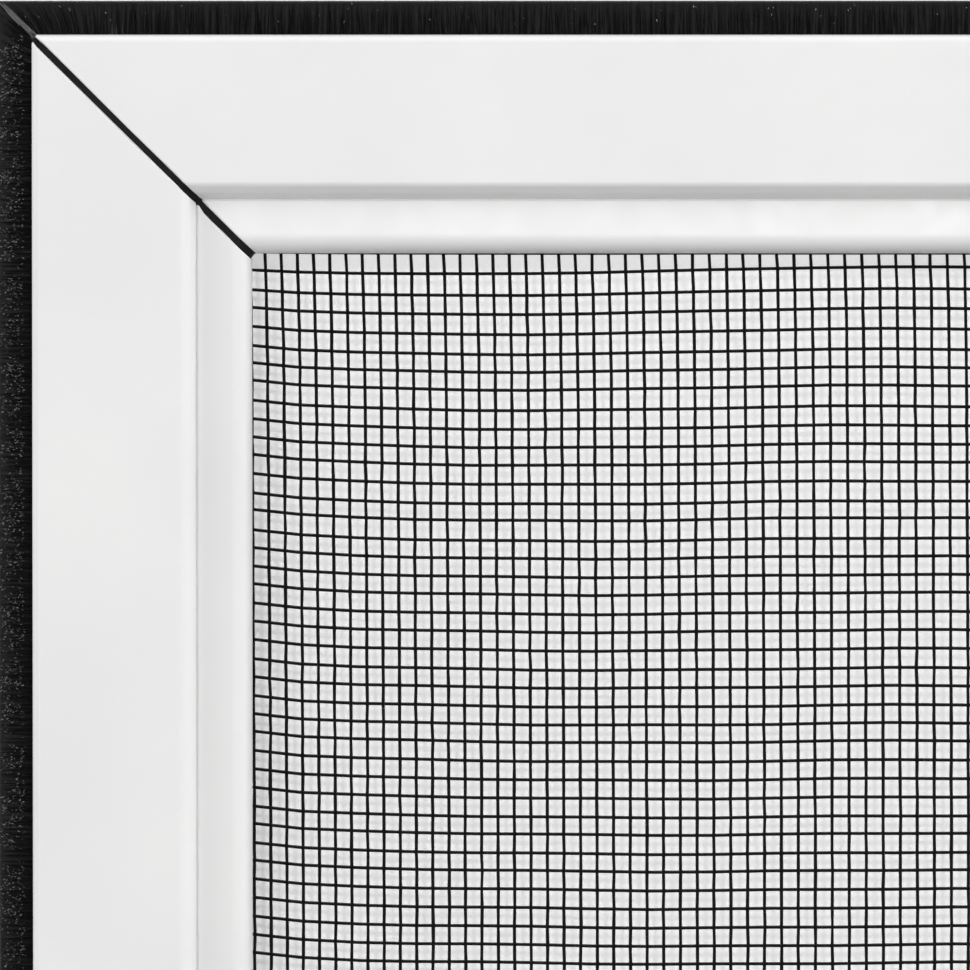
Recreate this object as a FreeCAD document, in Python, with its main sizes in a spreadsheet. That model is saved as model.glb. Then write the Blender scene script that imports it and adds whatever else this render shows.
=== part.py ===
import FreeCAD, Part
import os
import Sketcher

# Window insect screen: a mitred frame of hollow aluminium rails round a woven net. A moulded key joins each
# corner and shows as a dark fin in the mitre, a cord presses the net into a groove on the back, a brush seals
# the outer edge, and four folded hooks grip the window.
# Millimetres. The origin is the centre of the screen in the plane of the rails' back faces, which seats on the
# window. +X is to the right and +Z up as seen from the front, and the front faces -Y.

SIZES = [
    ("screen_width", 400, "outside width of the rails, without the brush"),
    ("screen_height", 500, "outside height of the rails, without the brush"),
    ("face_width", 18.4, "rail, from its outer edge to the opening"),
    ("depth", 9, "rail, from front to back"),
    ("wall", 1.1, "rail's walls round its hollow chamber"),
    ("edge_radius", 0.7, "rounding of the front's outer edge"),
    ("back_radius", 0.4, "rounding of the back's edges"),
    ("step_inset", 13.8, "outer edge to the step in the front"),
    ("step_drop", 1.6, "height of the step"),
    ("step_radius", 1.5, "rounding at the top of the step"),
    ("lip_wall", 1.2, "thickness of the lip that covers the net's groove"),
    ("lip_radius", 1.8, "rounding of the lip towards the opening"),
    ("mouth_width", 3.2, "brush channel's mouth"),
    ("mouth_wall", 1, "lips beside the brush channel's mouth"),
    ("cavity_width", 5.2, "brush channel behind its mouth"),
    ("cavity_depth", 1.2, "brush channel, from lips to floor"),
    ("groove_width", 4.2, "net's groove"),
    ("inner_wall", 1.1, "wall between the net's groove and the opening"),
    ("seat_radius", 0.3, "rounding of the edge that the net bends over"),
    ("net_seat", 7, "front of the rail to the edge that the net lies on"),
    ("mitre_gap", 0.55, "gap between two rails, which the key's fin fills"),
    ("fin_recess", 0.35, "fin's edge, behind the rails' fronts and sides"),
    ("key_leg", 30, "key's leg, from the chamber's outer corner"),
    ("key_clearance", 0.05, "key to chamber, each side"),
    ("key_radius", 1, "rounding of the key's ends"),
    ("notch_width", 1.6, "notches along the key's legs"),
    ("notch_depth", 0.8, "depth of a notch"),
    ("notch_pitch", 4, "from one notch to the next"),
    ("notch_count", 4, "notches on each side of a leg"),
    ("brush_reach", 3.1, "pile beyond the rail's outer edge"),
    ("brush_clearance", 0.1, "brush to its channel, each side"),
    ("spline_lift", 0.2, "groove's floor to the cord"),
    ("spline_height", 4.2, "cord, pressed between its two walls"),
    ("spline_radius", 1.3, "rounding of the pressed cord"),
    ("net_thickness", 0.4, "net over its ridges, and its turned edge"),
    ("net_web", 0.2, "thickness of the net beside its ridges"),
    ("strand_width", 1.6, "wall left between two gaps of the net"),
    ("ridge_width", 0.8, "ridge along a strand"),
    ("gaps_across", 10, "gaps of the net from side to side"),
    ("gaps_up", 12, "gaps of the net from bottom to top"),
    ("tuck_depth", 3.4, "net's turned edge in the groove"),
    ("hook_spacing", 240, "from one hook to the other on a rail"),
    ("hook_width", 22, "width of a hook's strip"),
    ("hook_thickness", 1.2, "thickness of a hook's strip"),
    ("hook_gap", 12, "room in a hook for the window's edge"),
    ("hook_inset", 1.6, "rail's outer edge to the hook's plate"),
    ("hook_plate", 10.8, "height of the hook's plate"),
    ("hook_leg", 9, "height of the hook's free leg"),
    ("hook_bend", 0.8, "inside radius of the hook's bends"),
    ("screw_spacing", 12, "between the two screws of a hook"),
    ("screw_inset", 6.2, "rail's outer edge to the screws"),
    ("screw_clearance", 0.05, "screw to its holes, each side"),
    ("screw_radius", 1.4, "screw's shank"),
    ("screw_head_radius", 2.5, "screw's countersunk head"),
    ("screw_length", 6.5, "screw, from head to tip"),
    ("screw_tip", 1.4, "length of the screw's tapered tip"),
    ("screw_point_radius", 0.4, "end of the screw's tip"),
]

# Places in a rail's section: inset from its outer edge, and depth from its front
CHAMBER_OUT = "(Sizes.mouth_wall + Sizes.cavity_depth + Sizes.wall)"
GROOVE_IN = "(Sizes.face_width - Sizes.inner_wall)"
GROOVE_OUT = f"({GROOVE_IN} - Sizes.groove_width)"
CHAMBER_IN = f"({GROOVE_OUT} - Sizes.wall)"
CHAMBER_BACK = "(Sizes.depth - Sizes.wall)"
GROOVE_FLOOR = "(Sizes.step_drop + Sizes.lip_wall)"
CAVITY_IN = "(Sizes.mouth_wall + Sizes.cavity_depth)"
MID_DEPTH = "Sizes.depth / 2"

# Half of a mitre's gap, measured along a rail
MITRE_SET_BACK = "(Sizes.mitre_gap / sqrt(2))"
FIN_HALF_RUN = "(Sizes.face_width + 2 * Sizes.wall)"
BACKING_IN = f"({CAVITY_IN} - 2 * Sizes.brush_clearance)"
HOLE_RADIUS = "(Sizes.screw_radius + Sizes.screw_clearance)"
COUNTERSINK = "(Sizes.screw_head_radius - Sizes.screw_radius)"

# The four sides: name, turn about Y, own length, distance from the screen's centre, and its way outward
SIDES = [
    ("top", 0, "Sizes.screen_width", "Sizes.screen_height / 2", (0, 1)),
    ("right", 90, "Sizes.screen_height", "Sizes.screen_width / 2", (1, 0)),
    ("bottom", 180, "Sizes.screen_width", "Sizes.screen_height / 2", (0, -1)),
    ("left", 270, "Sizes.screen_height", "Sizes.screen_width / 2", (-1, 0)),
]
RAIL_NAMES = {"top": "top_rail", "right": "right_stile", "bottom": "bottom_rail", "left": "left_stile"}

# The four corners: name, turn about Y, and sign of x and z
CORNERS = [
    ("top_left", 0, (-1, 1)),
    ("top_right", 90, (1, 1)),
    ("bottom_right", 180, (1, -1)),
    ("bottom_left", 270, (-1, -1)),
]

# A step of a pattern with this value is the pattern's usual spacing
USUAL_SPACING = -1.0

UP = FreeCAD.Vector(0, 0, 1)
TURN_AXIS = FreeCAD.Vector(0, 1, 0)

doc = FreeCAD.newDocument("window_screen_frame")
sheet = doc.addObject("Spreadsheet::Sheet", "Sizes")
for row, (name, size, meaning) in enumerate(SIZES, start=1):
    sheet.set(f"A{row}", meaning)
    sheet.set(f"B{row}", str(size))
    sheet.setAlias(f"B{row}", name)
doc.recompute()

sub_parts = []


def value(expression):
    return float(sheet.evalExpression(expression))


def section(inset, depth, radius=None):
    """A corner of a rail's section, as it lies in a sketch on the YZ plane."""
    return f"{depth} - Sizes.depth", f"-({inset})", radius


def centred_box(half_x, half_y, middle_x="0", middle_y="0"):
    """The corners of a rectangle round a middle point."""
    return [
        (f"{middle_x} - {half_x}", f"{middle_y} - {half_y}", None),
        (f"{middle_x} + {half_x}", f"{middle_y} - {half_y}", None),
        (f"{middle_x} + {half_x}", f"{middle_y} + {half_y}", None),
        (f"{middle_x} - {half_x}", f"{middle_y} + {half_y}", None),
    ]


def new_body(label):
    body = doc.addObject("PartDesign::Body", label)
    body.Label = label
    sub_parts.append(body)
    return body


def origin_item(body, role):
    return next(item for item in body.Origin.OriginFeatures if item.Role == role)


def new_sketch(body, name, role, offset=None):
    sketch = body.newObject("Sketcher::SketchObject", name)
    sketch.AttachmentSupport = [(origin_item(body, role), "")]
    sketch.MapMode = "FlatFace"
    if offset:
        sketch.setExpression("AttachmentOffset.Base.z", offset)
    return sketch


def tie(sketch, constraint, expression):
    index = sketch.addConstraint(constraint)
    sketch.setExpression(f"Constraints[{index}]", expression)


def pin_point(sketch, geometry, end, place):
    """Ties one end of a line to a place given by two expressions."""
    for kind, expression in zip(("DistanceX", "DistanceY"), place):
        constraint = Sketcher.Constraint(kind, -1, 1, geometry, end, value(expression))
        tie(sketch, constraint, expression)


def heading(start, end):
    """The way along X or Y from one corner to the next, or both for a slanting line."""
    step = end - start
    near = 1e-9
    return tuple(0 if abs(part) < near else (1 if part > 0 else -1) for part in (step.x, step.y))


def moved(place, way, distance):
    return tuple(f"{axis} + {sign} * {distance}" if sign else axis for axis, sign in zip(place, way))


def point(place):
    return FreeCAD.Vector(value(place[0]), value(place[1]), 0)


def draw(sketch, corners):
    """Draws a closed outline through corners, rounding those with a radius where two square sides meet."""
    count = len(corners)
    sharp = [point(corner[:2]) for corner in corners]
    arrive, leave = [], []
    for i, (x, y, radius) in enumerate(corners):
        way_in = heading(sharp[i - 1], sharp[i])
        way_out = heading(sharp[i], sharp[(i + 1) % count])
        back = tuple(-sign for sign in way_in)
        arrive.append(moved((x, y), back, radius) if radius else (x, y))
        leave.append(moved((x, y), way_out, radius) if radius else (x, y))
    path = []
    for i in range(count):
        j = (i + 1) % count
        line = sketch.addGeometry(Part.LineSegment(point(leave[i]), point(arrive[j])), False)
        pin_point(sketch, line, 1, leave[i])
        path.append((line, 1, 2))
        radius = corners[j][2]
        if radius:
            pin_point(sketch, line, 2, arrive[j])
            path.append(draw_arc(sketch, sharp[j], point(arrive[j]), point(leave[j]), radius))
    for (item, _, end), (following, start, _) in zip(path, path[1:] + path[:1]):
        sketch.addConstraint(Sketcher.Constraint("Coincident", item, end, following, start))


def draw_arc(sketch, corner, start, end, radius):
    """Draws the quarter circle that rounds a corner, and says which of its ends comes first on the way."""
    centre = start + end - corner
    turn = (corner - start).cross(end - corner).z
    circle = Part.Circle(centre, UP, value(radius))
    first, last = (start, end) if turn > 0 else (end, start)
    arc = Part.ArcOfCircle(circle, circle.parameter(first), circle.parameter(last))
    index = sketch.addGeometry(arc, False)
    tie(sketch, Sketcher.Constraint("Radius", index, value(radius)), radius)
    return (index, 1, 2) if turn > 0 else (index, 2, 1)


def draw_circle(sketch, place, radius):
    circle = sketch.addGeometry(Part.Circle(point(place), UP, value(radius)), False)
    pin_point(sketch, circle, 3, place)
    tie(sketch, Sketcher.Constraint("Radius", circle, value(radius)), radius)


def pad(body, sketch, length, symmetric=False, reverse=False):
    feature = body.newObject("PartDesign::Pad", "Pad")
    feature.Profile = sketch
    feature.SideType = "Symmetric" if symmetric else "One side"
    feature.Reversed = reverse
    feature.setExpression("Length", length)
    return feature


def pocket(body, sketch, length=None, symmetric=False, reverse=False):
    """Cuts an outline out of the body, right through it if no length is given, and makes sure that it cuts."""
    doc.recompute()
    before = body.Shape.Volume
    feature = body.newObject("PartDesign::Pocket", "Pocket")
    feature.Profile = sketch
    feature.SideType = "Symmetric" if symmetric else "One side"
    feature.Reversed = reverse
    if length:
        feature.setExpression("Length", length)
    else:
        feature.Type = "ThroughAll"
    doc.recompute()
    if not body.Shape.Volume < before:
        raise RuntimeError(f"{body.Label}: a cut took nothing away")
    return feature


def repeat(body, feature, role, spacing, count, role_two=None, spacing_two=None, count_two=None):
    """Repeats a feature along one or two of the body's axes."""
    doc.recompute()
    pattern = body.newObject("PartDesign::LinearPattern", "Pattern")
    pattern.Originals = [feature]
    pattern.Direction = (origin_item(body, role), [""])
    pattern.Mode = "Spacing"
    pattern.setExpression("Offset", spacing)
    pattern.setExpression("Occurrences", count)
    if role_two:
        pattern.Direction2 = (origin_item(body, role_two), [""])
        pattern.Mode2 = "Spacing"
        pattern.setExpression("Offset2", spacing_two)
        pattern.setExpression("Occurrences2", count_two)
        doc.recompute()
        pattern.Spacings2 = [USUAL_SPACING] * (pattern.Occurrences2 - 1)
    body.Tip = pattern
    doc.recompute()
    return pattern


def place(item, turn, x="0", y="0", z="0"):
    """Turns a piece about Y and ties its place to the sheet."""
    item.Placement = FreeCAD.Placement(FreeCAD.Vector(), FreeCAD.Rotation(TURN_AXIS, turn))
    for axis, expression in zip("xyz", (x, y, z)):
        item.setExpression(f"Placement.Base.{axis}", expression)


def place_on_side(item, side):
    _, turn, _, distance, (way_x, way_z) = side
    place(item, turn, x=f"{way_x} * {distance}", z=f"{way_z} * {distance}")


def cut_mitres(body, run, inset_out, inset_in):
    """Cuts both ends of a bar at 45 degrees, back from the corner's diagonal by half the mitre's gap."""
    beyond = f"({run} / 2 + Sizes.face_width)"
    sketch = new_sketch(body, "Mitres", "XZ_Plane")
    for end in (-1, 1):
        outline = [
            (f"{end} * ({run} / 2 - ({inset_out}) - {MITRE_SET_BACK})", f"-({inset_out})", None),
            (f"{end} * {beyond}", f"-({inset_out})", None),
            (f"{end} * {beyond}", f"-({inset_in})", None),
            (f"{end} * ({run} / 2 - ({inset_in}) - {MITRE_SET_BACK})", f"-({inset_in})", None),
        ]
        draw(sketch, outline)
    pocket(body, sketch, reverse=True)


def mitred_bar(label, side, outlines, inset_out, inset_in):
    """A bar of one section along a side of the screen, mitred past the given insets."""
    run = side[2]
    body = new_body(label)
    profile = new_sketch(body, "Section", "YZ_Plane")
    for outline in outlines:
        draw(profile, outline)
    pad(body, profile, f"{run} + 2 * Sizes.brush_reach", symmetric=True)
    margin = "Sizes.wall"
    cut_mitres(body, run, f"{inset_out} - {margin}", f"{inset_in} + {margin}")
    place_on_side(body, side)
    return body


def rail_outline(
    recess="0", seat_inset=GROOVE_IN, seat_depth="Sizes.net_seat", seat_radius="Sizes.seat_radius"
):
    """A rail's outside: stepped front, lip, net's groove open to the back, and brush channel in its edge. The
    net's seat is the back edge of the wall beside the opening. The front and sides may lie behind a recess."""
    step_in = f"Sizes.step_inset - {recess}"
    step_back = f"Sizes.step_drop + {recess}"
    lip_in = f"Sizes.face_width - {recess}"
    mouth_front = f"{MID_DEPTH} - Sizes.mouth_width / 2"
    mouth_back = f"{MID_DEPTH} + Sizes.mouth_width / 2"
    cavity_front = f"{MID_DEPTH} - Sizes.cavity_width / 2"
    cavity_back = f"{MID_DEPTH} + Sizes.cavity_width / 2"
    return [
        section(recess, recess, "Sizes.edge_radius"),
        section(step_in, recess, "Sizes.step_radius"),
        section(step_in, step_back),
        section(lip_in, step_back, "Sizes.lip_radius"),
        section(lip_in, seat_depth, seat_radius),
        section(seat_inset, seat_depth, seat_radius),
        section(seat_inset, GROOVE_FLOOR),
        section(GROOVE_OUT, GROOVE_FLOOR),
        section(GROOVE_OUT, "Sizes.depth", "Sizes.back_radius"),
        section(recess, "Sizes.depth", "Sizes.back_radius"),
        section(recess, mouth_back),
        section("Sizes.mouth_wall", mouth_back),
        section("Sizes.mouth_wall", cavity_back),
        section(CAVITY_IN, cavity_back),
        section(CAVITY_IN, cavity_front),
        section("Sizes.mouth_wall", cavity_front),
        section("Sizes.mouth_wall", mouth_front),
        section(recess, mouth_front),
    ]


def chamber_outline():
    return [
        section(CHAMBER_OUT, "Sizes.wall"),
        section(CHAMBER_IN, "Sizes.wall"),
        section(CHAMBER_IN, CHAMBER_BACK),
        section(CHAMBER_OUT, CHAMBER_BACK),
    ]


def make_rail(side):
    """One hollow rail. The top and bottom ones have the hooks' screw holes in their back walls."""
    rail = mitred_bar(RAIL_NAMES[side[0]], side, [rail_outline(), chamber_outline()], "0", "Sizes.face_width")
    if side[0] in ("top", "bottom"):
        holes = new_sketch(rail, "ScrewHoles", "XZ_Plane")
        for hook in (-1, 1):
            for screw in (-1, 1):
                along = f"{hook} * Sizes.hook_spacing / 2 + {screw} * Sizes.screw_spacing / 2"
                draw_circle(holes, (along, "-Sizes.screw_inset"), HOLE_RADIUS)
        pocket(rail, holes, "Sizes.screw_length", reverse=True)


def make_brush(side):
    """A brush strip: its backing slides in the rail's channel, and its pile stands out through the mouth."""
    half_backing = "(Sizes.cavity_width / 2 - Sizes.brush_clearance)"
    half_pile = "(Sizes.mouth_width / 2 - Sizes.brush_clearance)"
    backing = [
        section("Sizes.mouth_wall", f"{MID_DEPTH} - {half_backing}"),
        section(BACKING_IN, f"{MID_DEPTH} - {half_backing}"),
        section(BACKING_IN, f"{MID_DEPTH} + {half_backing}"),
        section("Sizes.mouth_wall", f"{MID_DEPTH} + {half_backing}"),
    ]
    pile = [
        section("-Sizes.brush_reach", f"{MID_DEPTH} - {half_pile}"),
        section("Sizes.mouth_wall", f"{MID_DEPTH} - {half_pile}"),
        section("Sizes.mouth_wall", f"{MID_DEPTH} + {half_pile}"),
        section("-Sizes.brush_reach", f"{MID_DEPTH} + {half_pile}"),
    ]
    mitred_bar(f"{side[0]}_brush_backing", side, [backing], "Sizes.mouth_wall", BACKING_IN)
    mitred_bar(f"{side[0]}_brush_pile", side, [pile], "-Sizes.brush_reach", "Sizes.mouth_wall")


def make_spline(side):
    """The cord that holds the net in its groove, pressed flat against the net and the groove's outer wall."""
    front = f"{GROOVE_FLOOR} + Sizes.spline_lift"
    back = f"{front} + Sizes.spline_height"
    inner = f"{GROOVE_IN} - Sizes.net_thickness"
    outline = [
        section(GROOVE_OUT, front, "Sizes.spline_radius"),
        section(inner, front, "Sizes.spline_radius"),
        section(inner, back, "Sizes.spline_radius"),
        section(GROOVE_OUT, back, "Sizes.spline_radius"),
    ]
    mitred_bar(f"{side[0]}_spline", side, [outline], GROOVE_OUT, inner)


def make_key(corner):
    """A moulded corner key: two notched legs in the rails' chambers, and a fin that fills the mitre's gap."""
    name, turn, (side_x, side_z) = corner
    key = new_body(f"{name}_corner_key")
    fin = new_sketch(key, "FinSection", "YZ_Plane")
    fin_seat = "Sizes.net_seat - Sizes.seat_radius"
    draw(fin, rail_outline("Sizes.fin_recess", f"({GROOVE_IN} + {MITRE_SET_BACK})", fin_seat, None))
    pad(key, fin, f"2 * {FIN_HALF_RUN}", symmetric=True)
    trim = new_sketch(key, "FinTrim", "XZ_Plane")
    for flank in (-1, 1):
        near = f"{flank} * {MITRE_SET_BACK}"
        far = f"{flank} * 2 * {FIN_HALF_RUN}"
        trim_outline = [
            (f"-Sizes.wall + {near}", "Sizes.wall", None),
            (f"-Sizes.wall + {far}", "Sizes.wall", None),
            (f"Sizes.face_width + Sizes.wall + {far}", "-Sizes.face_width - Sizes.wall", None),
            (f"Sizes.face_width + Sizes.wall + {near}", "-Sizes.face_width - Sizes.wall", None),
        ]
        draw(trim, trim_outline)
    pocket(key, trim, reverse=True)

    outer = f"({CHAMBER_OUT} + Sizes.key_clearance)"
    inner = f"({CHAMBER_IN} - Sizes.key_clearance)"
    end = f"({CHAMBER_OUT} + Sizes.key_leg)"
    front_face = "Sizes.wall + Sizes.key_clearance"
    thickness = "Sizes.depth - 2 * Sizes.wall - 2 * Sizes.key_clearance"
    legs = new_sketch(key, "Legs", "XZ_Plane", front_face)
    legs_outline = [
        (outer, f"-{outer}", "Sizes.key_radius"),
        (end, f"-{outer}", "Sizes.key_radius"),
        (end, f"-{inner}", "Sizes.key_radius"),
        (inner, f"-{inner}", None),
        (inner, f"-{end}", "Sizes.key_radius"),
        (outer, f"-{end}", "Sizes.key_radius"),
    ]
    draw(legs, legs_outline)
    pad(key, legs, thickness)

    first = f"({end} - Sizes.notch_pitch * Sizes.notch_count)"
    half = "Sizes.notch_width / 2"
    along_x = new_sketch(key, "NotchesAcross", "XZ_Plane")
    along_z = new_sketch(key, "NotchesUp", "XZ_Plane")
    for edge in (outer, inner):
        draw(along_x, centred_box(half, "Sizes.notch_depth", first, f"-{edge}"))
        draw(along_z, centred_box("Sizes.notch_depth", half, edge, f"-{first}"))
    across = pocket(key, along_x, reverse=True)
    repeat(key, across, "X_Axis", "Sizes.notch_pitch", "Sizes.notch_count")
    upward = pocket(key, along_z, reverse=True)
    down = repeat(key, upward, "Z_Axis", "Sizes.notch_pitch", "Sizes.notch_count")
    down.Reversed = True
    place(key, turn, x=f"{side_x} * Sizes.screen_width / 2", z=f"{side_z} * Sizes.screen_height / 2")


def make_net():
    """The net: one thin wall of gaps, with upright ridges in front, level ones behind, and an edge turned into
    the groove."""
    half_x = f"(Sizes.screen_width / 2 - {GROOVE_IN} + Sizes.net_thickness)"
    half_z = f"(Sizes.screen_height / 2 - {GROOVE_IN} + Sizes.net_thickness)"
    pitch_x = "((Sizes.screen_width - 2 * Sizes.face_width) / Sizes.gaps_across)"
    pitch_z = "((Sizes.screen_height - 2 * Sizes.face_width) / Sizes.gaps_up)"
    first_gap_x = f"(-(Sizes.gaps_across - 1) * {pitch_x} / 2)"
    first_gap_z = f"(-(Sizes.gaps_up - 1) * {pitch_z} / 2)"
    half_ridge = "Sizes.ridge_width / 2"
    ridge_height = "Sizes.net_thickness / 2"

    net = new_body("insect_net")
    wall = new_sketch(net, "Wall", "XZ_Plane")
    draw(wall, centred_box(half_x, half_z))
    pad(net, wall, "Sizes.net_web", symmetric=True)

    gap = new_sketch(net, "Gap", "XZ_Plane")
    half_gap_x = f"({pitch_x} - Sizes.strand_width) / 2"
    half_gap_z = f"({pitch_z} - Sizes.strand_width) / 2"
    draw(gap, centred_box(half_gap_x, half_gap_z, first_gap_x, first_gap_z))
    hole = pocket(net, gap, symmetric=True)
    repeat(net, hole, "X_Axis", pitch_x, "Sizes.gaps_across", "Z_Axis", pitch_z, "Sizes.gaps_up")

    upright = new_sketch(net, "UprightRidge", "XZ_Plane")
    draw(upright, centred_box(half_ridge, half_z, f"({first_gap_x} + {pitch_x} / 2)"))
    repeat(net, pad(net, upright, ridge_height), "X_Axis", pitch_x, "Sizes.gaps_across - 1")

    level = new_sketch(net, "LevelRidge", "XZ_Plane")
    draw(level, centred_box(half_x, half_ridge, "0", f"({first_gap_z} + {pitch_z} / 2)"))
    repeat(net, pad(net, level, ridge_height, reverse=True), "Z_Axis", pitch_z, "Sizes.gaps_up - 1")

    edge = new_sketch(net, "TurnedEdge", "XZ_Plane")
    draw(edge, centred_box(half_x, half_z))
    draw(edge, centred_box(f"({half_x} - Sizes.net_thickness)", f"({half_z} - Sizes.net_thickness)"))
    net.Tip = pad(net, edge, f"{ridge_height} + Sizes.tuck_depth")
    place(net, 0, y=f"Sizes.net_seat - Sizes.depth + {ridge_height}")


def make_hook(corner):
    """A hook: a strip folded into a U that is screwed to the rail's back and grips the window's edge."""
    name, _, (side_x, side_z) = corner
    thick = "Sizes.hook_thickness"
    outer_end = "-Sizes.hook_inset"
    root = "-(Sizes.hook_inset + Sizes.hook_plate)"
    inner_root = f"{root} + {thick}"
    free_end = f"{root} + Sizes.hook_leg"
    near = f"({thick} + Sizes.hook_gap)"
    far = f"({near} + {thick})"
    outside = f"(Sizes.hook_bend + {thick})"
    hook = new_body(f"{name}_hook")
    strip = new_sketch(hook, "Strip", "YZ_Plane")
    strip_outline = [
        ("0", outer_end, None),
        ("0", root, outside),
        (far, root, outside),
        (far, free_end, None),
        (near, free_end, None),
        (near, inner_root, "Sizes.hook_bend"),
        (thick, inner_root, "Sizes.hook_bend"),
        (thick, outer_end, None),
    ]
    draw(strip, strip_outline)
    pad(hook, strip, "Sizes.hook_width", symmetric=True)
    holes = new_sketch(hook, "ScrewHoles", "XZ_Plane")
    for screw in (-1, 1):
        along = f"{screw} * Sizes.screw_spacing / 2"
        draw_circle(holes, (along, "-Sizes.screw_inset"), HOLE_RADIUS)
    through = pocket(hook, holes, thick)
    sunk = hook.newObject("PartDesign::Chamfer", "Countersinks")
    sunk.Base = (through, hole_rims(through.Shape, value(thick)))
    sunk.setExpression("Size", COUNTERSINK)
    turn = 0 if side_z > 0 else 180
    place(hook, turn, x=f"{side_x} * Sizes.hook_spacing / 2", z=f"{side_z} * Sizes.screen_height / 2")


def hole_rims(shape, height):
    """The names of the round edges that lie at one height along Y."""
    names = []
    for number, edge in enumerate(shape.Edges, start=1):
        round_edge = isinstance(edge.Curve, Part.Circle) and edge.isClosed()
        if round_edge and abs(edge.CenterOfMass.y - height) < value("Sizes.screw_clearance"):
            names.append(f"Edge{number}")
    return names


def make_screw(number, x, z):
    """One countersunk screw, driven from the back into the rail."""
    head_radius = "(Sizes.screw_head_radius - Sizes.screw_clearance)"
    head_height = f"({head_radius} - Sizes.screw_radius)"
    shank_end = "(Sizes.screw_length - Sizes.screw_tip)"
    head = doc.addObject("Part::Cone", f"ScrewHead{number}")
    head.setExpression("Radius1", head_radius)
    head.setExpression("Radius2", "Sizes.screw_radius")
    head.setExpression("Height", head_height)
    shank = doc.addObject("Part::Cylinder", f"ScrewShank{number}")
    shank.setExpression("Radius", "Sizes.screw_radius")
    shank.setExpression("Height", f"{shank_end} - {head_height}")
    shank.setExpression("Placement.Base.z", head_height)
    tip = doc.addObject("Part::Cone", f"ScrewTip{number}")
    tip.setExpression("Radius1", "Sizes.screw_radius")
    tip.setExpression("Radius2", "Sizes.screw_point_radius")
    tip.setExpression("Height", "Sizes.screw_tip")
    tip.setExpression("Placement.Base.z", shank_end)
    screw = doc.addObject("Part::MultiFuse", f"Screw{number}")
    screw.Shapes = [head, shank, tip]
    screw.Placement = FreeCAD.Placement(FreeCAD.Vector(), FreeCAD.Rotation(FreeCAD.Vector(1, 0, 0), 90))
    for axis, expression in zip("xyz", (x, "Sizes.hook_thickness", z)):
        screw.setExpression(f"Placement.Base.{axis}", expression)
    return screw


def make_screws():
    """The hooks' screws, two to a hook, as one group."""
    screws = []
    for _, _, (side_x, side_z) in CORNERS:
        for screw in (-1, 1):
            x = f"{side_x} * Sizes.hook_spacing / 2 + {screw} * Sizes.screw_spacing / 2"
            z = f"{side_z} * (Sizes.screen_height / 2 - Sizes.screw_inset)"
            screws.append(make_screw(len(screws) + 1, x, z))
    group = doc.addObject("Part::Compound", "hook_screws")
    group.Label = "hook_screws"
    group.Links = screws
    sub_parts.append(group)


def write_parts():
    """Checks every object and every shape, then writes each sub-part to a file of its own name."""
    doc.recompute()
    failed = [item.Label for item in doc.Objects if {"Invalid", "Error"} & set(item.State)]
    bad = [part.Label for part in sub_parts if part.Shape.isNull() or not part.Shape.isValid()]
    if failed or bad:
        raise RuntimeError(f"failed objects: {failed}, bad shapes: {bad}")
    os.makedirs("parts", exist_ok=True)
    for part in sub_parts:
        part.Shape.exportStep(f"parts/{part.Label}.step")


for side in SIDES:
    make_rail(side)
    make_brush(side)
    make_spline(side)
for corner in CORNERS:
    make_key(corner)
    make_hook(corner)
make_net()
make_screws()
write_parts()
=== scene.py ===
import math

import bmesh
import bpy
import numpy as np
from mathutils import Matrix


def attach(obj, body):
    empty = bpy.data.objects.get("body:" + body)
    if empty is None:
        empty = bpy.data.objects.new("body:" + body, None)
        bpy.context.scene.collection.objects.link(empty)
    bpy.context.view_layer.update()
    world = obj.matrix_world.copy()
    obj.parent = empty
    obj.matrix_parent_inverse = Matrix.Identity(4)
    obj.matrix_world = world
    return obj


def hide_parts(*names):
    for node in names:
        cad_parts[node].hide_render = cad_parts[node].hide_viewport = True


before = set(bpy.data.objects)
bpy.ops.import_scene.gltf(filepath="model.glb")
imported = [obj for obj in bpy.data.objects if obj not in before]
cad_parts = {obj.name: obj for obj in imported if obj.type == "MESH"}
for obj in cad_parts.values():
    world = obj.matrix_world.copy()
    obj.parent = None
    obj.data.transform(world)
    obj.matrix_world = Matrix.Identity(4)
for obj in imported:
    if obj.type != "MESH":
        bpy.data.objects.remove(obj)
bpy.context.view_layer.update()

# Window insect screen, seen close at its top left corner. The script works in millimetres, in the
# frame of the solids, and turns them into metres when a mesh is made.
MM = 0.001

# Sizes of the part, as in its source. An inset runs in from the screen's outer edge, and a depth
# runs back from its front.
HALF_WIDTH = 200.0
HALF_HEIGHT = 250.0
DEPTH = 9.0
FACE_WIDTH = 18.4
MITRE_SET_BACK = 0.55 / math.sqrt(2)
MOUTH_WALL = 1.0
MOUTH_FRONT, MOUTH_BACK = 2.9, 6.1
CAVITY_INSET = 2.2
CAVITY_FRONT, CAVITY_BACK = 1.9, 7.1
GROOVE_OUT, GROOVE_IN = 13.1, 17.3
GROOVE_FLOOR = 2.8
NET_SEAT = 7.0
TUCK_DEPTH = 3.4
PILE_HALF = 1.5
HOOK_PLACE = 120
SCREW_PLACE = 6
SCREW_INSET = 6.2

# The four sides: half of the rail's length, centre to outer edge, way along, way outward
SIDES = {
    "top": (HALF_WIDTH, HALF_HEIGHT, (1, 0), (0, 1)),
    "right": (HALF_HEIGHT, HALF_WIDTH, (0, -1), (1, 0)),
    "bottom": (HALF_WIDTH, HALF_HEIGHT, (-1, 0), (0, -1)),
    "left": (HALF_HEIGHT, HALF_WIDTH, (0, 1), (-1, 0)),
}
RAIL_NAMES = {
    "top": "top_rail",
    "right": "right_stile",
    "bottom": "bottom_rail",
    "left": "left_stile",
}

# Corners of the section of yarns and fibres
THREE_TURNS = np.radians([-90, 30, 150])

seeded = np.random.default_rng(20)


# Materials

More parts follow.
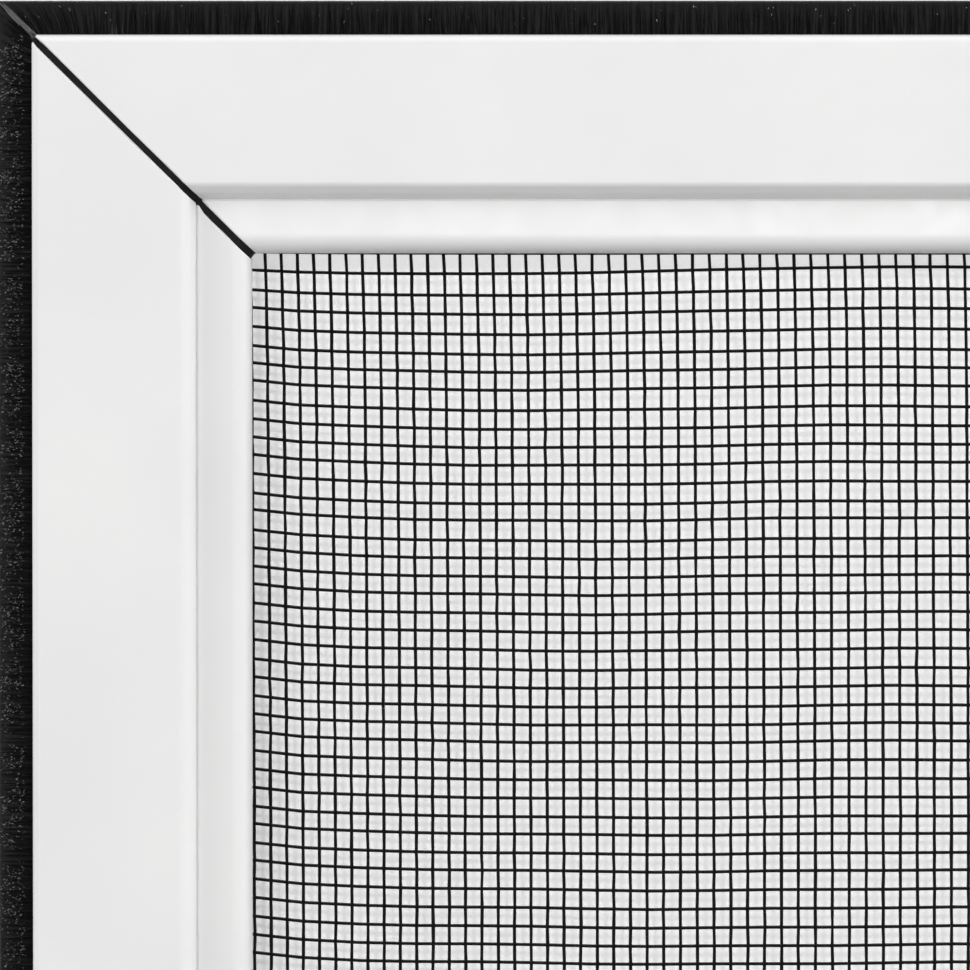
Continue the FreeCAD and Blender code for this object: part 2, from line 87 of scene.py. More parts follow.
class Nodes:
    """A material's node tree, with short calls for what the finishes share."""

    def __init__(self, name):
        self.material = bpy.data.materials.new(name)
        self.material.use_nodes = True
        self.tree = self.material.node_tree
        self.surface = self.tree.nodes["Principled BSDF"]
        self.out = self.tree.nodes["Material Output"].inputs["Surface"]
        self.place = self.add("ShaderNodeTexCoord").outputs["Object"]

    def add(self, kind, **settings):
        node = self.tree.nodes.new(kind)
        for key, value in settings.items():
            setattr(node, key, value)
        return node

    def feed(self, value, socket):
        """Links an output to a socket, or sets the socket to a number or a colour."""
        if isinstance(value, bpy.types.NodeSocket):
            self.tree.links.new(value, socket)
        elif isinstance(value, tuple):
            socket.default_value = (*value, 1.0)
        else:
            socket.default_value = value

    def set(self, **values):
        for key, value in values.items():
            self.feed(value, self.surface.inputs[key.replace("_", " ")])

    def noise(self, scale, detail=2.0, roughness=0.5, place=None):
        node = self.add("ShaderNodeTexNoise")
        node.inputs["Scale"].default_value = scale
        node.inputs["Detail"].default_value = detail
        node.inputs["Roughness"].default_value = roughness
        self.feed(place or self.place, node.inputs["Vector"])
        return node.outputs["Fac"]

    def ribs(self, direction, scale, distortion):
        node = self.add("ShaderNodeTexWave", wave_type="BANDS", bands_direction=direction)
        node.inputs["Scale"].default_value = scale
        node.inputs["Distortion"].default_value = distortion
        self.feed(self.place, node.inputs["Vector"])
        return node.outputs["Fac"]

    def stretched(self, scale):
        node = self.add("ShaderNodeMapping")
        node.inputs["Scale"].default_value = scale
        self.feed(self.place, node.inputs["Vector"])
        return node.outputs["Vector"]

    def ramp(self, factor, *stops):
        """Colours by factor. A stop is a position and a colour, or a level of grey."""
        node = self.add("ShaderNodeValToRGB")
        ramp = node.color_ramp
        while len(ramp.elements) < len(stops):
            ramp.elements.new(0.5)
        for element, (position, colour) in zip(ramp.elements, stops):
            element.position = position
            element.color = (*(colour if isinstance(colour, tuple) else grey(colour)), 1.0)
        self.feed(factor, node.inputs["Fac"])
        return node.outputs["Color"]

    def remap(self, factor, new_low, new_high, low=0.3, high=0.7):
        """A factor moved to a new range. The old one is that of most of a noise, unless given."""
        node = self.add("ShaderNodeMapRange")
        limits = {"From Min": low, "From Max": high, "To Min": new_low, "To Max": new_high}
        for key, value in limits.items():
            node.inputs[key].default_value = value
        self.feed(factor, node.inputs["Value"])
        return node.outputs["Result"]

    def mix(self, factor, first, second):
        node = self.add("ShaderNodeMix", data_type="RGBA")
        for value, index in ((factor, 0), (first, 6), (second, 7)):
            self.feed(value, node.inputs[index])
        return node.outputs[2]

    def math(self, operation, *values):
        node = self.add("ShaderNodeMath", operation=operation)
        for value, socket in zip(values, node.inputs):
            self.feed(value, socket)
        return node.outputs[0]

    def bump(self, height, strength, distance, under=None):
        node = self.add("ShaderNodeBump")
        node.inputs["Strength"].default_value = strength
        node.inputs["Distance"].default_value = distance * MM
        self.feed(height, node.inputs["Height"])
        if under:
            self.feed(under, node.inputs["Normal"])
        return node.outputs["Normal"]


def grey(level):
    return (level, level, level)


def white_powder_coat():
    """A baked powder coat: slight orange peel, a satin sheen, faint clouds and a few specks of
    dust."""
    n = Nodes("white_powder_coat")
    clouds = n.ramp(n.noise(45, detail=3), (0.3, 0.79), (0.7, (0.835, 0.835, 0.83)))
    cells = n.add("ShaderNodeTexVoronoi")
    cells.inputs["Scale"].default_value = 60
    n.feed(n.place, cells.inputs["Vector"])
    speck = n.remap(cells.outputs["Distance"], 1.0, 0.0, low=0.006, high=0.013)
    n.set(Base_Color=n.mix(speck, clouds, grey(0.68)))
    n.set(Roughness=n.remap(n.noise(600), 0.36, 0.5))
    peel = n.bump(n.noise(900), strength=0.12, distance=0.05)
    n.set(Normal=n.bump(n.noise(4200, detail=1), strength=0.07, distance=0.02, under=peel))
    return n.material


def black_nylon():
    """Moulded nylon: fine spark-eroded grain."""
    n = Nodes("black_nylon")
    n.set(Base_Color=n.ramp(n.noise(500, detail=3), (0.35, 0.005), (0.7, 0.010)))
    n.set(Roughness=n.remap(n.noise(900), 0.5, 0.65), Specular_IOR_Level=0.1)
    n.set(Normal=n.bump(n.noise(6000), strength=0.2, distance=0.03))
    return n.material


def net_yarn():
    """Glass yarn in a black vinyl coat: satin, a little uneven along its length."""
    n = Nodes("net_yarn")
    n.set(Base_Color=n.ramp(n.noise(420, detail=3), (0.3, 0.002), (0.75, 0.006)))
    n.set(Roughness=n.remap(n.noise(1500), 0.45, 0.65), Specular_IOR_Level=0.06)
    n.set(Normal=n.bump(n.noise(5200), strength=0.25, distance=0.03))
    return n.material


def brush_pile():
    """Polypropylene fibre: black, with a pale tone painted on stray cut ends as glints where they
    catch the light, and on the tufts at the mitres as painted light.
    """
    n = Nodes("brush_pile")
    tone = n.add("ShaderNodeAttribute", attribute_name="tone").outputs["Fac"]
    # Tones near one are pale: painted glints on stray ends and painted light on the mitre tufts.
    n.set(Base_Color=n.ramp(tone, (0.0, 0.005), (0.6, 0.0095), (1.0, 0.3)))
    n.set(Roughness=n.remap(n.noise(2400), 0.45, 0.65), Specular_IOR_Level=0.12)
    grain = n.noise(5000, place=n.stretched((1, 0.3, 1)))
    n.set(Normal=n.bump(grain, strength=0.3, distance=0.03))
    return n.material


def brush_backing():
    """Woven backing tape: slanting ribs."""
    n = Nodes("brush_backing")
    ribs = n.ribs("DIAGONAL", scale=420, distortion=1.5)
    n.set(Base_Color=n.ramp(ribs, (0.2, 0.012), (0.8, 0.035)))
    n.set(Roughness=0.7, Normal=n.bump(ribs, strength=0.5, distance=0.08))
    return n.material


def spline_cord(along):
    """Soft vinyl cord with moulded ribs round it, along the given axis."""
    n = Nodes(f"spline_cord_{along.lower()}")
    n.set(Base_Color=n.ramp(n.noise(300, detail=3), (0.3, 0.014), (0.7, 0.026)))
    n.set(Roughness=n.remap(n.noise(800), 0.5, 0.68))
    ribs = n.bump(n.ribs(along, scale=260, distortion=0.4), strength=0.6, distance=0.12)
    n.set(Normal=n.bump(n.noise(2500), strength=0.15, distance=0.03, under=ribs))
    return n.material


def hook_steel():
    """Stainless strip: fine brushed streaks, a soft sheen and faint grey clouds."""
    n = Nodes("hook_steel")
    streaks = n.noise(220, detail=4, roughness=0.6, place=n.stretched((1, 14, 14)))
    clouds = n.ramp(n.noise(140, detail=3), (0.3, (0.5, 0.51, 0.52)), (0.7, (0.66, 0.665, 0.66)))
    n.set(Base_Color=n.mix(streaks, clouds, grey(0.6)))
    n.set(Metallic=1.0, Roughness=n.remap(streaks, 0.28, 0.46))
    n.set(Normal=n.bump(streaks, strength=0.12, distance=0.03))
    return n.material


def screw_steel():
    """Bright plated steel, slightly uneven."""
    n = Nodes("screw_steel")
    n.set(Base_Color=n.ramp(n.noise(700, detail=3), (0.3, 0.58), (0.7, 0.74)))
    n.set(Metallic=1.0, Roughness=n.remap(n.noise(1800), 0.2, 0.34))
    n.set(Normal=n.bump(n.noise(3000), strength=0.1, distance=0.02))
    return n.material


# Meshes

def new_piece(name, points, faces, finish, replaced=(), sharp=None):
    """A mesh piece from points in millimetres. Edges sharper than the given angle stay sharp."""
    mesh = bpy.data.meshes.new(name)
    mesh.from_pydata((np.asarray(points) * MM).tolist(), [], faces)
    shape = bmesh.new()
    shape.from_mesh(mesh)
    bmesh.ops.recalc_face_normals(shape, faces=shape.faces)
    shape.to_mesh(mesh)
    shape.free()
    mesh.shade_smooth()
    if sharp:
        mesh.set_sharp_from_angle(angle=math.radians(sharp))
    mesh.materials.append(finish)
    piece = bpy.data.objects.new(name, mesh)
    bpy.context.scene.collection.objects.link(piece)
    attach(piece, "root")
    if replaced:
        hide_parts(*replaced)
    return piece


def on_side(side, along, inset, depth):
    """Places in the part's frame of points given along a side, in from its outer edge and back
    from its front."""
    _, reach, (along_x, along_z), (out_x, out_z) = SIDES[side]
    along, inset, depth = np.broadcast_arrays(along, inset, depth)
    out = reach - inset
    x = along_x * along + out_x * out
    z = along_z * along + out_z * out
    return np.stack([x, depth - DEPTH, z], axis=-1)


def rounded(corners, steps=12, hold=0.04):
    """A closed outline of (inset, depth, radius) corners. A point just outside each arc keeps the
    shading of the flats even."""
    outline = []
    for index, (u, v, radius) in enumerate(corners):
        if not radius:
            outline.append((u, v))
            continue
        here = np.array((u, v), float)
        before = np.array(corners[index - 1][:2]) - here
        after = np.array(corners[(index + 1) % len(corners)][:2]) - here
        before /= np.linalg.norm(before)
        after /= np.linalg.norm(after)
        angle = math.acos(before @ after)
        reach = radius / math.tan(angle / 2)
        middle = (before + after) / np.linalg.norm(before + after)
        centre = here + middle * radius / math.sin(angle / 2)
        first, last = here + reach * before - centre, here + reach * after - centre
        turn = math.pi - angle
        outline.append(tuple(here + (reach + hold) * before))
        for share in np.linspace(0, 1, steps + 1):
            swung = math.sin((1 - share) * turn) * first + math.sin(share * turn) * last
            outline.append(tuple(centre + swung / math.sin(turn)))
        outline.append(tuple(here + (reach + hold) * after))
    return np.array(outline)


def grow(outline, amount):
    """The outline moved outward along its normals, or inward if the amount is negative."""
    before = outline - np.roll(outline, 1, axis=0)
    after = np.roll(outline, -1, axis=0) - outline
    normals = []
    for way in (before, after):
        way = way / np.linalg.norm(way, axis=1)[:, None]
        normals.append(np.stack([way[:, 1], -way[:, 0]], axis=1))
    middle = normals[0] + normals[1]
    middle /= np.linalg.norm(middle, axis=1)[:, None]
    x, y = outline.T
    if (x * np.roll(y, -1) - y * np.roll(x, -1)).sum() < 0:
        middle = -middle
    return outline + amount * middle


def ring_faces(rings, count):
    """Faces between rings of the given number of points, and over the first and the last ring."""
    faces = []
    for start in range(0, (rings - 1) * count, count):
        for step in range(count):
            here, after = start + step, start + (step + 1) % count
            faces.append((here, after, after + count, here + count))
    faces.append(tuple(range(count)))
    faces.append(tuple(range((rings - 1) * count, rings * count)))
    return faces


def mitred_bar(side, outline, ends, bow=0.0):
    """Points and faces of a bar along a side. Each of its ends' rings is a set-back and a growth of
    the outline. The bow is a further set-back for each point of the outline."""
    half = SIDES[side][0]
    rings = []
    for sign, order in ((-1, ends), (1, ends[::-1])):
        for set_back, growth in order:
            inset, depth = (grow(outline, growth) if growth else outline).T
            run = half - outline[:, 0] - MITRE_SET_BACK - set_back - bow
            rings.append(on_side(side, sign * run, inset, depth))
    return np.concatenate(rings), ring_faces(len(rings), len(outline))


# The rails and the fins between them

RAIL_SECTION = rounded([
    (0, 0, 0.55),
    (8, 0, None),
    (11.5, 0, None),
    (12.55, 0, 0.7),
    (13.25, 0.72, 1.2),
    (13.79, 1.9, None),
    (13.96, 1.63, None),
    (14.5, 1.568, None),
    (15.5, 1.453, None),
    (FACE_WIDTH, 1.12, 1.5),
    (FACE_WIDTH, NET_SEAT, 0.3),
    (GROOVE_IN, NET_SEAT, 0.3),
    (GROOVE_IN, GROOVE_FLOOR, None),
    (GROOVE_OUT, GROOVE_FLOOR, None),
    (GROOVE_OUT, DEPTH, 0.4),
    (0, DEPTH, 0.4),
    (0, MOUTH_BACK, None),
    (MOUTH_WALL, MOUTH_BACK, None),
    (MOUTH_WALL, CAVITY_BACK, None),
    (CAVITY_INSET, CAVITY_BACK, None),
    (CAVITY_INSET, CAVITY_FRONT, None),
    (MOUTH_WALL, CAVITY_FRONT, None),
    (MOUTH_WALL, MOUTH_FRONT, None),
    (0, MOUTH_FRONT, None),
])
FIN_SECTION = rounded([
    (0.3, 0.18, 0.6),
    (8, 0.18, None),
    (11.5, 0.18, None),
    (12.45, 0.18, 0.6),
    (13.12, 0.87, 1.1),
    (13.66, 1.83, None),
    (14.5, 1.735, None),
    (15.5, 1.621, None),
    (18.33, 1.3, 1.4),
    (18.33, 6.8, None),
    (17.4, 6.8, None),
    (17.4, 3.2, None),
    (12.8, 3.2, None),
    (12.8, 6.0, None),
    (0.3, 6.0, None),
])
SHARP_PROFILE = 32

# Rings of the fine round that the coat leaves on a sawn end: the set-back and the outline's growth
COATED_END = [(0.05, -0.12), (0.08, -0.04), (0.17, 0.0), (0.25, 0.0)]
FIN_SET_BACK = 0.15

# How the sawn ends stray from the mitre: insets and set-backs of the cut on the stiles and on the
# rails, and the coat's build-up beside the step
STILE_CUT = (8, 11.5, 13.9, 14.5, 15.5, 18.2), (0.14, 0, 0, 0.22, 0.22, 0)
RAIL_CUT = (8, 11.5, 13.9, 14.5), (-0.14, 0, 0, -0.1)
BUILD_UP, BUILD_UP_INSET, BUILD_UP_WIDTH = 0.09, 13.0, 1.3


def rail_bow(side, inset):
    """How much further than the mitre a rail's end is cut back: the coat builds up beside the step,
    the cut wanders a little, and the stiles' lips are trimmed."""
    build_up = BUILD_UP * np.exp(-(((inset - BUILD_UP_INSET) / BUILD_UP_WIDTH) ** 2))
    cut = STILE_CUT if side in ("left", "right") else RAIL_CUT
    return np.interp(inset, *cut) - build_up


def make_rails():
    """The four rails, each with the fine round that the coat leaves on its sawn ends."""
    finish = white_powder_coat()
    for side, node in RAIL_NAMES.items():
        bow = rail_bow(side, RAIL_SECTION[:, 0])
        points, faces = mitred_bar(side, RAIL_SECTION, COATED_END, bow)
        new_piece(f"coated_{node}", points, faces, finish, [node], SHARP_PROFILE)


def make_fins(finish):
    """The fins of the corner keys, which fill the mitres between the coated ends."""
    inset, depth = FIN_SECTION.T
    names = list(SIDES)
    for side, before in zip(names, names[-1:] + names[:-1]):
        rings = []
        for place, sign in ((before, 1), (side, -1)):
            set_back = MITRE_SET_BACK + rail_bow(place, inset) + FIN_SET_BACK
            run = SIDES[place][0] - inset - set_back
            rings.append(on_side(place, sign * run, inset, depth))
        points, faces = np.concatenate(rings), ring_faces(2, len(FIN_SECTION))
        name = f"{before}_{side}_mitre_fin"
        new_piece(name, points, faces, finish, sharp=SHARP_PROFILE)


# The net

NET_PITCH_X = 1.4046
NET_PITCH_Z = 1.561
FIRST_YARN_X = -181.56
FIRST_YARN_Z = 231.63
EDGE_YARN_SHIFT = -0.045
NET_CLEARANCE = 0.25
NET_PLANE = NET_SEAT - DEPTH + NET_CLEARANCE
BEND_RADIUS = 0.45
BEND_X = HALF_WIDTH - GROOVE_IN + NET_CLEARANCE - BEND_RADIUS
BEND_Z = HALF_HEIGHT - GROOVE_IN + NET_CLEARANCE - BEND_RADIUS
BEND_LENGTH = BEND_RADIUS * math.pi / 2
TAIL = TUCK_DEPTH - BEND_RADIUS - NET_CLEARANCE
FLAT_X = BEND_X + BEND_LENGTH + TAIL
FLAT_Z = BEND_Z + BEND_LENGTH + TAIL
YARN_RADIUS = 0.164
YARN_TRIM = 0.1
CRIMP = 0.15
STRIPS = 4
LEVEL_STATIONS = 22

# How the net lies in the frame. The edges hold it, over the lengths given here.
EDGE_BLEND = 1.2
HELD_BY_SIDE = 6.4
HELD_BY_END = 5.1
# It sags, but less near the top, in waves along it
SAG = 1.05
EASE = 0.75
EASE_START = 0.9
EASE_REACH = 16
EASE_WAVE = 19
# Its uprights drift aside in waves across it, and lean down their length and at the top
DRIFT, DRIFT_START, DRIFT_WAVE = 0.5, 2, 18.5
LEAN, LEAN_START, LEAN_WAVE = 0.12, 31, 22
TOP_LEAN, TOP_LEAN_REACH = 0.3, 6
# Small waves up and down, and to the front and back: height, length across and length up
RIPPLES = (0.08, 7.3, 31), (0.04, 3.1, -5)
SLACK = (0.16, 21, 33), (0.1, -40, 17)


def fold(flat, bend):
    """Where a flat distance from the net's middle lies once the edge is turned into the groove: the
    distance, the depth, and the way that the net's back faces there."""
    over = np.clip(np.abs(flat) - bend, 0, None)
    turn = np.clip(over / BEND_RADIUS, 0, math.pi / 2)
    sign = np.sign(flat)
    straight = np.clip(over - BEND_LENGTH, 0, None)
    place = sign * (np.minimum(np.abs(flat), bend) + BEND_RADIUS * np.sin(turn))
    depth = -BEND_RADIUS * (1 - np.cos(turn)) - straight
    return place, depth, sign * np.sin(turn), np.cos(turn)


def rising(distance, reach):
    """Nothing at an edge, and one far from it."""
    return 1 - np.exp(-distance / reach)


def waves(a, b, rows):
    return sum(height * np.sin(a / across + b / up) for height, across, up in rows)


def net_place(a, b, lift):
    """Places of points of the flat net, drawn tight in the frame but not quite even, lifted off its
    plane."""
    a, b, lift = np.broadcast_arrays(a, b, lift)
    inside_x = np.clip((BEND_X - np.abs(a)) / EDGE_BLEND, 0, 1)
    inside_z = np.clip((BEND_Z - np.abs(b)) / EDGE_BLEND, 0, 1)
    from_side = np.clip(BEND_X - np.abs(a), 0, None)
    from_top = np.clip(BEND_Z - b, 0, None)
    from_bottom = np.clip(BEND_Z + b, 0, None)
    held = rising(from_side, HELD_BY_SIDE) * rising(from_top, HELD_BY_END)
    held = held * rising(from_bottom, HELD_BY_END)
    free = rising((np.clip(from_top - EASE_START, 0, None) / EASE_START) ** 2, 1)
    swell = (0.5 - 0.5 * np.cos((a + BEND_X) / EASE_WAVE)) ** 2
    eased = EASE * free * np.exp(-from_top / EASE_REACH) * swell
    sag = eased + (waves(a, b, RIPPLES) - SAG) * held
    drift = -DRIFT * np.sin((a + BEND_X - DRIFT_START) / DRIFT_WAVE)
    lean = LEAN * np.sin((from_top - LEAN_START) / LEAN_WAVE)
    lean = lean - TOP_LEAN * np.exp(-from_top / TOP_LEAN_REACH)
    slack = waves(a, b, SLACK) * inside_x * inside_z
    x, depth_x, back_x, flat_x = fold(a, BEND_X)
    z, depth_z, back_z, flat_z = fold(b, BEND_Z)
    rise = lift * (0.5 + 0.5 * inside_x * inside_z)
    x = x + (drift + lean) * inside_x + rise * back_x
    z = z + sag * inside_z + rise * back_z
    y = NET_PLANE + depth_x + depth_z + rise * flat_x * flat_z + slack
    return np.stack([x, y, z], axis=-1)


def tube(line, across, through, radius):
    """Points and faces of a three-sided open tube along a line. Its section lies across the line
    and through the net."""
    across, through = np.array(across, float), np.array(through, float)
    section = np.cos(THREE_TURNS)[:, None] * across + np.sin(THREE_TURNS)[:, None] * through
    points = line[:, None, :] + np.asarray(radius).reshape(-1, 1, 1) * section[None]
    start = np.arange(len(line) - 1)[:, None] * 3
    here = start + np.arange(3)[None]
    after = start + (np.arange(3)[None] + 1) % 3
    faces = np.stack([here, after, after + 3, here + 3], axis=-1)
    return points.reshape(-1, 3), faces.reshape(-1, 4)


def gather(tubes):
    """The points and the faces of all the tubes as one mesh."""
    points, faces, base = [], [], 0
    for some_points, some_faces in tubes:
        points.append(some_points)
        faces.append(some_faces + base)
        base += len(some_points)
    return np.concatenate(points), np.concatenate(faces).tolist()


def yarn_places(first, pitch, limit):
    low = math.ceil((-limit - first) / pitch)
    high = math.floor((limit - first) / pitch)
    return first + pitch * np.arange(low, high + 1)


def level_stations(start, end):
    """Places along a level yarn, closer together in a bend that it goes through."""
    half_way, past = BEND_X + BEND_LENGTH / 2, BEND_X + BEND_LENGTH
    others = LEVEL_STATIONS - 3
    if start < -BEND_X:
        return np.concatenate([[start, -past, -half_way], np.linspace(-BEND_X, end, others)])
    if end > BEND_X:
        return np.concatenate([np.linspace(start, BEND_X, others), [half_way, past, end]])
    return np.linspace(start, end, LEVEL_STATIONS)


def make_net():
    """The woven net in strips side by side. Upright yarns go over and under, and level yarns lie
    nearly straight between them."""
    finish = net_yarn()
    uprights = yarn_places(FIRST_YARN_X, NET_PITCH_X, FLAT_X - YARN_TRIM)
    levels = yarn_places(FIRST_YARN_Z, NET_PITCH_Z, FLAT_Z - YARN_TRIM)
    crossings = np.arange(len(uprights))[:, None] + np.arange(len(levels))[None]
    over = np.where(crossings % 2, 1.0, -1.0)
    kink = 0.008 * over + seeded.normal(0, 0.014, over.shape)
    thick = YARN_RADIUS * (1 + seeded.normal(0, 0.05, over.shape))
    level_shift = seeded.normal(0, 0.045, len(levels))
    level_shift[np.argmin(np.abs(levels - FIRST_YARN_Z))] = EDGE_YARN_SHIFT
    strips = np.array_split(np.arange(len(uprights)), STRIPS)
    for number, columns in enumerate(strips, start=1):
        tubes = []
        for column in columns:
            rows = np.arange(len(levels))
            if abs(uprights[column]) > BEND_X:
                rows = rows[np.abs(levels) < BEND_Z]
            a = uprights[column] + kink[column, rows]
            line = net_place(a, levels[rows], CRIMP * over[column, rows])
            tubes.append(tube(line, (1, 0, 0), (0, 1, 0), thick[column, rows]))
        low = -FLAT_X if number == 1 else uprights[columns[0]] - NET_PITCH_X / 2
        high = FLAT_X if number == STRIPS else uprights[columns[-1]] + NET_PITCH_X / 2
        for b, shift in zip(levels, level_shift):
            start, end = low, high
            if abs(b) > BEND_Z:
                start, end = max(low, -BEND_X), min(high, BEND_X)
            line = net_place(level_stations(start, end), b + shift, 0.0)
            tubes.append(tube(line, (0, 0, 1), (0, 1, 0), np.full(len(line), YARN_RADIUS)))
        points, faces = gather(tubes)
        name = f"insect_net_strip_{number}"
        strip = new_piece(name, points, faces, finish, ["insect_net"])


# The brush

PILE_REACH = {"top": 2.95, "right": 3.06, "bottom": 2.95, "left": 3.06}
PILE_FRONT = DEPTH / 2 - PILE_HALF
PILE_BACK = DEPTH / 2 + PILE_HALF
PILE_ROOT = 0.8
CORE_INSET = 0.14
SHARP_FIBRE = 60

# Rows of long fibres at the pile's front, back and middle: pitch, depth and its spread
FIBRE_ROWS = (
    (0.14, PILE_FRONT + 0.1, 0.06),
    (0.36, PILE_BACK - 0.1, 0.09),
    (0.5, DEPTH / 2, 0.8),
)
END_CLEARANCE = 0.4
SPLAY_REACH = 6
PALE_SHARE, PALE_TONE = 0.012, 0.7
# Tones of a long fibre's points, from its root to its tip: painted light at the root, which lies in
# shade by the frame, and darker toward the tip
FIBRE_TONES = np.array([1.0] * 3 + [0.85] * 3 + [0.5])

# Stray ends, whose pale tone is a painted glint, are many on the upright strips, where the light
# catches them, and few on the level ones
STRAY_PITCH = {"top": 1.6, "right": 0.042, "bottom": 1.6, "left": 0.042}
CLUMP_PITCH = 3.3
TUFT_COUNT = 90


def fibre_points(side, stations):
    """Points of each fibre: its three-cornered rings and then its tip. A station is the places of
    all the fibres along the side, in from its edge and back from its front, and their radius there,
    or None at the tip."""
    rings = []
    for along, inset, depth, size in stations:
        if size is None:
            rings.append(on_side(side, along, inset, depth))
            continue
        for turn in THREE_TURNS:
            aside, back = size * math.cos(turn), size * math.sin(turn)
            rings.append(on_side(side, along + aside, inset, depth + back))
    return np.stack(rings, axis=1).reshape(-1, 3)


def fibre_faces(base, count, size):
    """Faces of fibres of the given number of points each."""
    start = base + size * np.arange(count)
    tip = size - 1
    faces = []
    for corner in range(3):
        after = (corner + 1) % 3
        for ring in range(0, tip - 3, 3):
            quad = ring + corner, ring + after, ring + 3 + after, ring + 3 + corner
            faces += np.stack([start + point for point in quad], axis=1).tolist()
        point = tip - 3 + corner, tip - 3 + after, tip
        faces += np.stack([start + place for place in point], axis=1).tolist()
    return faces


def long_fibres(side, pitch, depth, spread):
    """A row of bent fibres from the channel to the pile's edge, splayed at its ends to fill the
    mitre. Returns the points, and the tones of each fibre's points."""
    half, full = SIDES[side][0], PILE_REACH[side]
    run = half - END_CLEARANCE
    count = int(2 * run / pitch)
    root = np.linspace(-run, run, count) + seeded.normal(0, pitch * 0.4, count)
    near_end = np.clip(1 - (half - np.abs(root)) / SPLAY_REACH, 0, 1)
    splay = np.sign(root) * (full + 0.2) * near_end ** 1.4
    depths = depth + seeded.uniform(-1, 1, count) * spread
    reach = full * (1 - np.abs(seeded.normal(0, 0.018, count)))
    bow = seeded.normal(0, 0.05, count)
    shift = seeded.normal(0, 0.04, count)
    radius = seeded.uniform(0.055, 0.08, count)
    limit = half + reach - seeded.uniform(0, 0.12, count)
    tip = np.clip(root + splay + seeded.normal(0, 0.16, count), -limit, limit)
    middle = (root + tip) / 2 + bow - splay * 0.1
    points = fibre_points(side, [
        (root, PILE_ROOT, depths, radius),
        (middle, PILE_ROOT / 2 - reach / 2, depths + shift, radius),
        (tip, -reach, np.clip(depths + 2 * shift, PILE_FRONT, PILE_BACK), None),
    ])
    shade = np.clip(seeded.normal(0.4, 0.12, count), 0, 0.6)
    shade[seeded.random(count) < PALE_SHARE] = PALE_TONE
    return points, shade[:, None] * FIBRE_TONES


def stray_ends(side, pitch):
    """Cut ends that stand out of the pile's front, bent over, and catch the light: their pale tone
    is a painted glint. They lie in loose clumps. Returns the points, and the tones of each end's
    points."""
    half, full = SIDES[side][0], PILE_REACH[side]
    count = int(2 * half / pitch)
    clumps = np.arange(-half, half, CLUMP_PITCH)
    clumps += seeded.normal(0, 0.35, len(clumps))
    share = seeded.uniform(0.26, 0.9, count)
    along = seeded.choice(clumps, count) + seeded.normal(0, 0.85, count) - 1.6 * (share - 0.6)
    limit = half + share * full - 0.3
    along = np.clip(along, -limit, limit)
    bend = seeded.normal(0, 0.1, count)
    length = seeded.choice([-1.0, 1.0], count) * seeded.uniform(0.1, 0.24, count)
    radius = seeded.uniform(0.04, 0.08, count)
    inset = -share * full
    points = fibre_points(side, [
        (along, inset, PILE_FRONT + 0.02, radius),
        (along + bend, inset + length, PILE_FRONT - 0.1, None),
    ])
    # A pale tone as a painted glint
    shade = np.clip(0.62 + np.abs(seeded.normal(0, 0.2, count)), 0, 1)
    return points, np.repeat(shade[:, None], 4, axis=1)


def corner_tufts(side, count):
    """Pale fibres that lie along the mitres at both ends of a strip: their pale tone is painted
    light, where light shows through the gap between the strips. Returns the points, and the tones
    of each fibre's points."""
    half, full = SIDES[side][0], PILE_REACH[side]
    sign = np.where(np.arange(count) % 2, 1.0, -1.0)
    start = seeded.uniform(-0.4, 0.45, count) * full
    end = np.minimum(start + seeded.uniform(0.3, 0.6, count) * full, full - 0.1)
    middle = (start + end) / 2
    aside = np.abs(seeded.normal(0, 0.13, count))
    depth = PILE_FRONT - 0.04 - seeded.uniform(0, 0.08, count)
    radius = seeded.uniform(0.04, 0.07, count)
    points = fibre_points(side, [
        (sign * (half + start - aside), np.minimum(0.1, -start), depth + 0.15, radius),
        (sign * (half + middle - aside), -middle, depth, radius),
        (sign * (half + end - aside), -end, depth, None),
    ])
    # Pale tones: painted light through the gap at the mitre
    shade = seeded.uniform(0.78, 1.0, count)
    return points, np.repeat(shade[:, None], 7, axis=1)


def make_brushes():
    """Each strip of pile: a dense core, with fibres over it."""
    finish = brush_pile()
    for side, full in PILE_REACH.items():
        edge = full - CORE_INSET
        core = np.array([
            (PILE_ROOT, PILE_FRONT + 0.2),
            (0.2 - edge, PILE_FRONT + 0.22),
            (-edge, PILE_FRONT + 0.5),
            (-edge, PILE_BACK - 0.5),
            (0.2 - edge, PILE_BACK - 0.22),
            (PILE_ROOT, PILE_BACK - 0.2),
        ])
        core_points, faces = mitred_bar(side, core, [(-MITRE_SET_BACK, 0.0)])
        fibres = [long_fibres(side, *row) for row in FIBRE_ROWS]
        fibres += [stray_ends(side, STRAY_PITCH[side]), corner_tufts(side, TUFT_COUNT)]
        points, tones = [core_points], [np.zeros(len(core_points))]
        base = len(core_points)
        for row_points, row_tones in fibres:
            points.append(row_points)
            tones.append(row_tones.reshape(-1))
            faces += fibre_faces(base, *row_tones.shape)
            base += len(row_points)
        name, node = f"{side}_brush_fibres", f"{side}_brush_pile"
        points = np.concatenate(points)
        piece = new_piece(name, points, faces, finish, [node], SHARP_FIBRE)
        attribute = piece.data.attributes.new("tone", "FLOAT", "POINT")
        attribute.data.foreach_set("value", np.concatenate(tones).astype(np.float32))


# Screws

# Radius, and height over the rail's back
SCREW_PROFILE = (
    (0.02, 1.2),
    (2.3, 1.2),
    (2.47, 1.17),
    (2.5, 1.1),
    (1.4, 0.05),
    (1.4, -3.9),
    (0.4, -5.3),
    (0.02, -5.3),
)
SCREW_STEPS = 40
SHARP_SCREW = 30
# The cross recess: half the length and width of a slot, and the height and share of its ends
SLOT_LONG, SLOT_WIDE = 1.35, 0.28
SLOT_TAPER = (1.6, 1.05), (-0.1, 0.5)
BOX_FACES = (0, 1, 2, 3), (4, 5, 6, 7), (0, 1, 5, 4), (1, 2, 6, 5), (2, 3, 7, 6), (3, 0, 4, 7)


